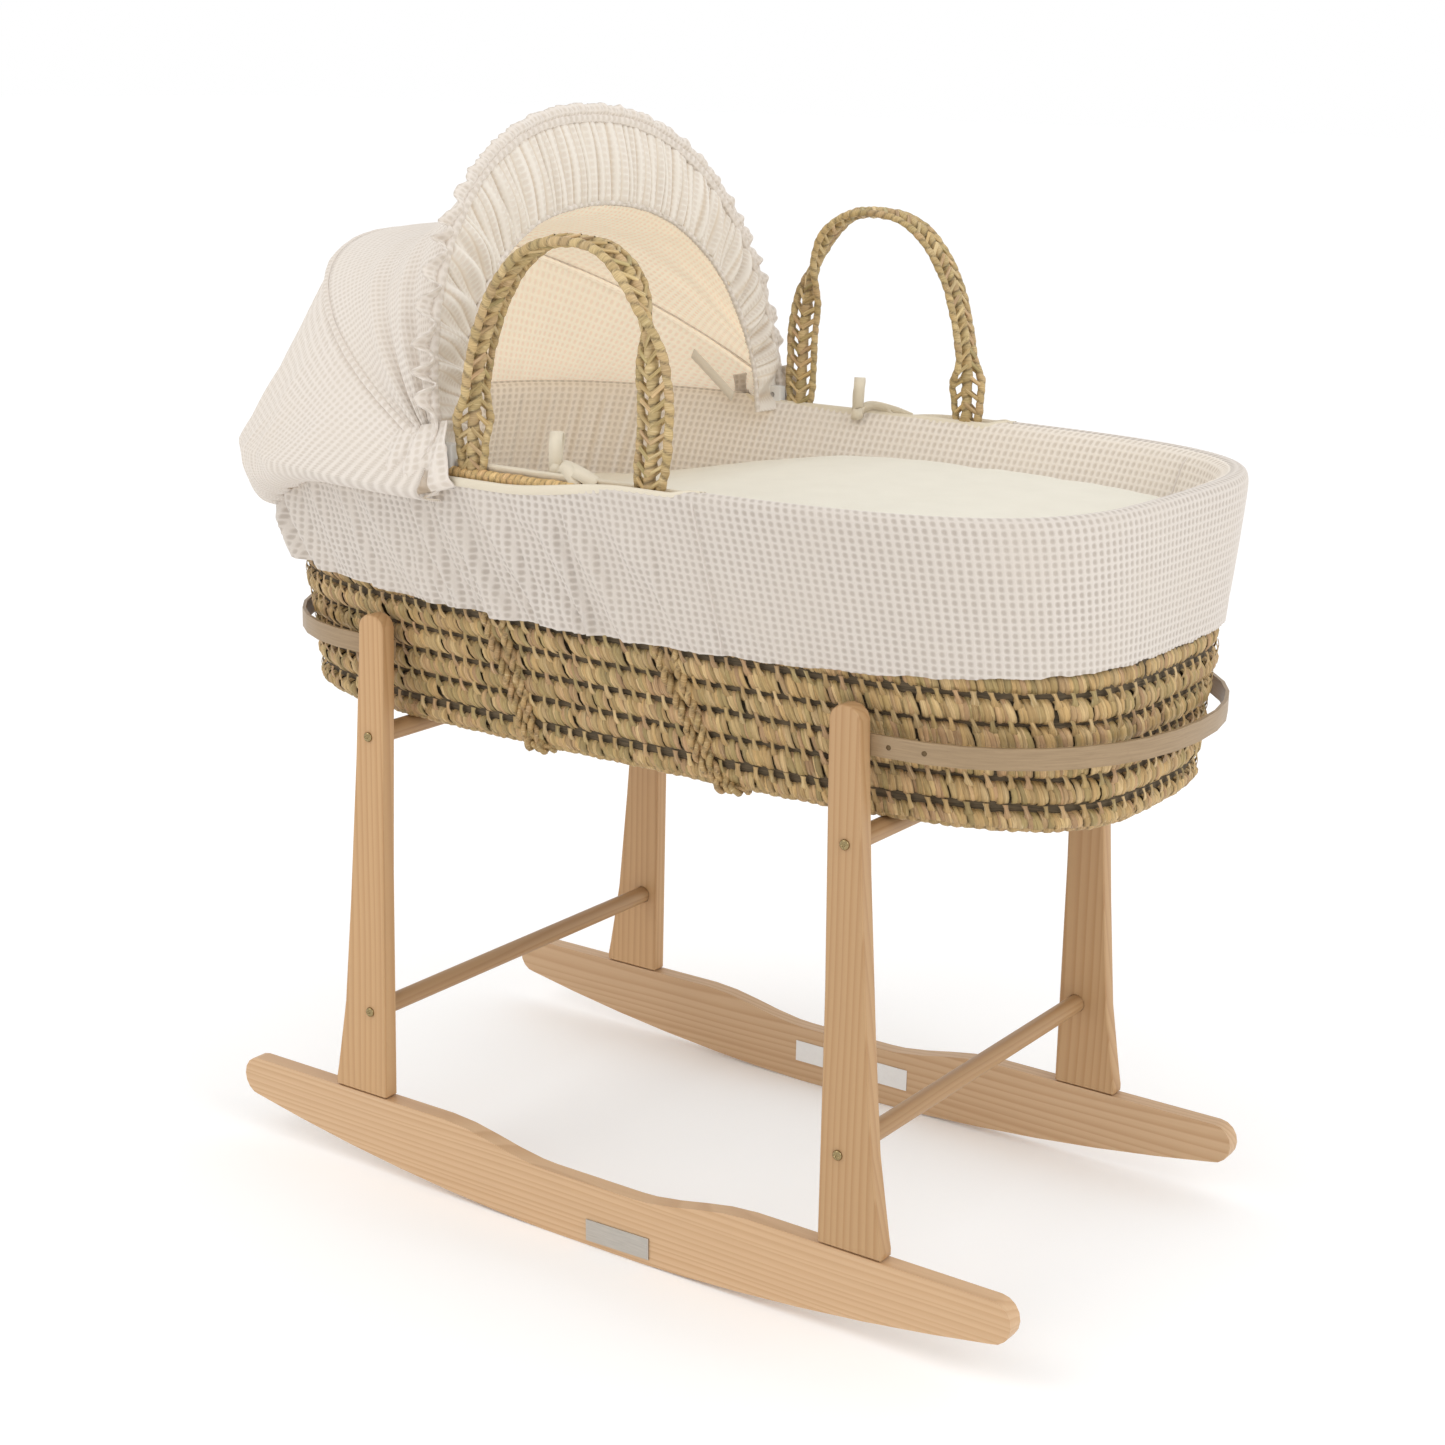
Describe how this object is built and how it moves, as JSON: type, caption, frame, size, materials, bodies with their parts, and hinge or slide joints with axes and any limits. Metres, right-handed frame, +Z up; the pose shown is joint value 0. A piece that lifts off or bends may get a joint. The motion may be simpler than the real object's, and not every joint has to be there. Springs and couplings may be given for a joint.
{
  "type": "bassinet on stand",
  "caption": "Woven palm-leaf Moses basket with quilted waffle dressing, folding hood and carry handles, on a rocking wooden stand.",
  "frame": {"origin": "on the floor, under the middle of the object's box in X and Y; the rockers' flats rest on Z = 0", "axes": "+X along the basket to its foot end, -X to its head end with the hood, +Y to the far side, +Z up"},
  "size_m": [0.8617, 0.511, 0.9257],
  "materials": {
    "pine": "clear lacquer over straight pine grain, satin",
    "bent_wood": "thin steam-bent strip, smooth satin",
    "yellow_zinc": "yellow passivated zinc on steel, glossy",
    "palm_leaf": "dried plaited palm leaf, straw to olive, matt",
    "waffle_cotton": "cream cotton waffle weave, matt",
    "cotton_tape": "plain woven cotton tape, matt",
    "jersey": "soft knitted cotton, matt",
    "wadding": "polyester wadding, matt",
    "steel_wire": "plain drawn wire",
    "white_plastic": "moulded, matt",
    "satin_nickel": "blank satin plate",
    "white_label": "blank printed-film label, matt"
  },
  "bodies": {
    "stand": {"rocker_near": "pine", "rocker_far": "pine", "leg_near_head": "pine", "leg_near_foot": "pine", "leg_far_head": "pine", "leg_far_foot": "pine", "leg_peg_near_head": "pine", "leg_peg_near_foot": "pine", "leg_peg_far_head": "pine", "leg_peg_far_foot": "pine", "crossbar_upper_head": "pine", "crossbar_upper_foot": "pine", "crossbar_lower_head": "pine", "crossbar_lower_foot": "pine", "end_hoop_head": "bent_wood", "end_hoop_foot": "bent_wood", "crossbar_screw_near_head_upper": "yellow_zinc", "crossbar_screw_near_head_lower": "yellow_zinc", "crossbar_screw_near_foot_upper": "yellow_zinc", "crossbar_screw_near_foot_lower": "yellow_zinc", "crossbar_screw_far_head_upper": "yellow_zinc", "crossbar_screw_far_head_lower": "yellow_zinc", "crossbar_screw_far_foot_upper": "yellow_zinc", "crossbar_screw_far_foot_lower": "yellow_zinc", "hoop_screw_near_head": "yellow_zinc", "hoop_screw_near_foot": "yellow_zinc", "hoop_screw_far_head": "yellow_zinc", "hoop_screw_far_foot": "yellow_zinc", "badge_plate": "satin_nickel", "blank_label": "white_label"},
    "basket": {"palm_basket": "palm_leaf", "lining": "waffle_cotton", "skirt": "waffle_cotton", "rim_edge_foot": "waffle_cotton", "rim_edge_head": "waffle_cotton", "under_pad": "wadding", "under_strap_head": "palm_leaf", "under_strap_foot": "palm_leaf", "skirt_tape_near": "cotton_tape", "skirt_tape_far": "cotton_tape", "lining_tape_near": "cotton_tape", "lining_tape_far": "cotton_tape", "tie_bow_near": "cotton_tape", "tie_bow_far": "cotton_tape", "hood_bracket_near": "white_plastic", "hood_bracket_far": "white_plastic", "hood_pin_near": "steel_wire", "hood_pin_far": "steel_wire"},
    "mattress": {"mattress": "jersey"},
    "handle_near": {"handle_near": "palm_leaf"},
    "handle_far": {"handle_far": "palm_leaf"},
    "hood_rear": {"hood_wire_rear": "steel_wire", "canopy_back": "waffle_cotton"},
    "hood_front": {"hood_wire_front": "steel_wire", "hood_brim": "waffle_cotton", "hood_frill": "waffle_cotton", "canopy_front": "waffle_cotton"}
  },
  "joints": [
    {"name": "basket_lift", "type": "slide", "parent": "stand", "child": "basket", "axis": [0, 0, 1], "range_m": [0, 0.25]},
    {"name": "mattress_lift", "type": "slide", "parent": "basket", "child": "mattress", "axis": [0, 0, 1], "range_m": [0, 0.04]},
    {"name": "handle_near_tilt", "type": "hinge", "parent": "basket", "child": "handle_near", "pos_m": [0.0044, -0.2355, 0.652], "axis": [1, 0, 0], "range_deg": [-55, 90]},
    {"name": "handle_far_tilt", "type": "hinge", "parent": "basket", "child": "handle_far", "pos_m": [0.0044, 0.2355, 0.652], "axis": [-1, 0, 0], "range_deg": [-55, 90]},
    {"name": "hood_rear_fold", "type": "hinge", "parent": "basket", "child": "hood_rear", "pos_m": [-0.1216, 0, 0.66], "axis": [0, -1, 0], "range_deg": [0, 15], "deforming": ["canopy_back"]},
    {"name": "hood_front_fold", "type": "hinge", "parent": "hood_rear", "child": "hood_front", "pos_m": [-0.1216, 0, 0.66], "axis": [0, -1, 0], "range_deg": [0, 42], "deforming": ["canopy_front"]}
  ],
  "couplings": [
    {"joint": "hood_rear_fold", "follows": "hood_front_fold", "ratio": 0.35}
  ]
}
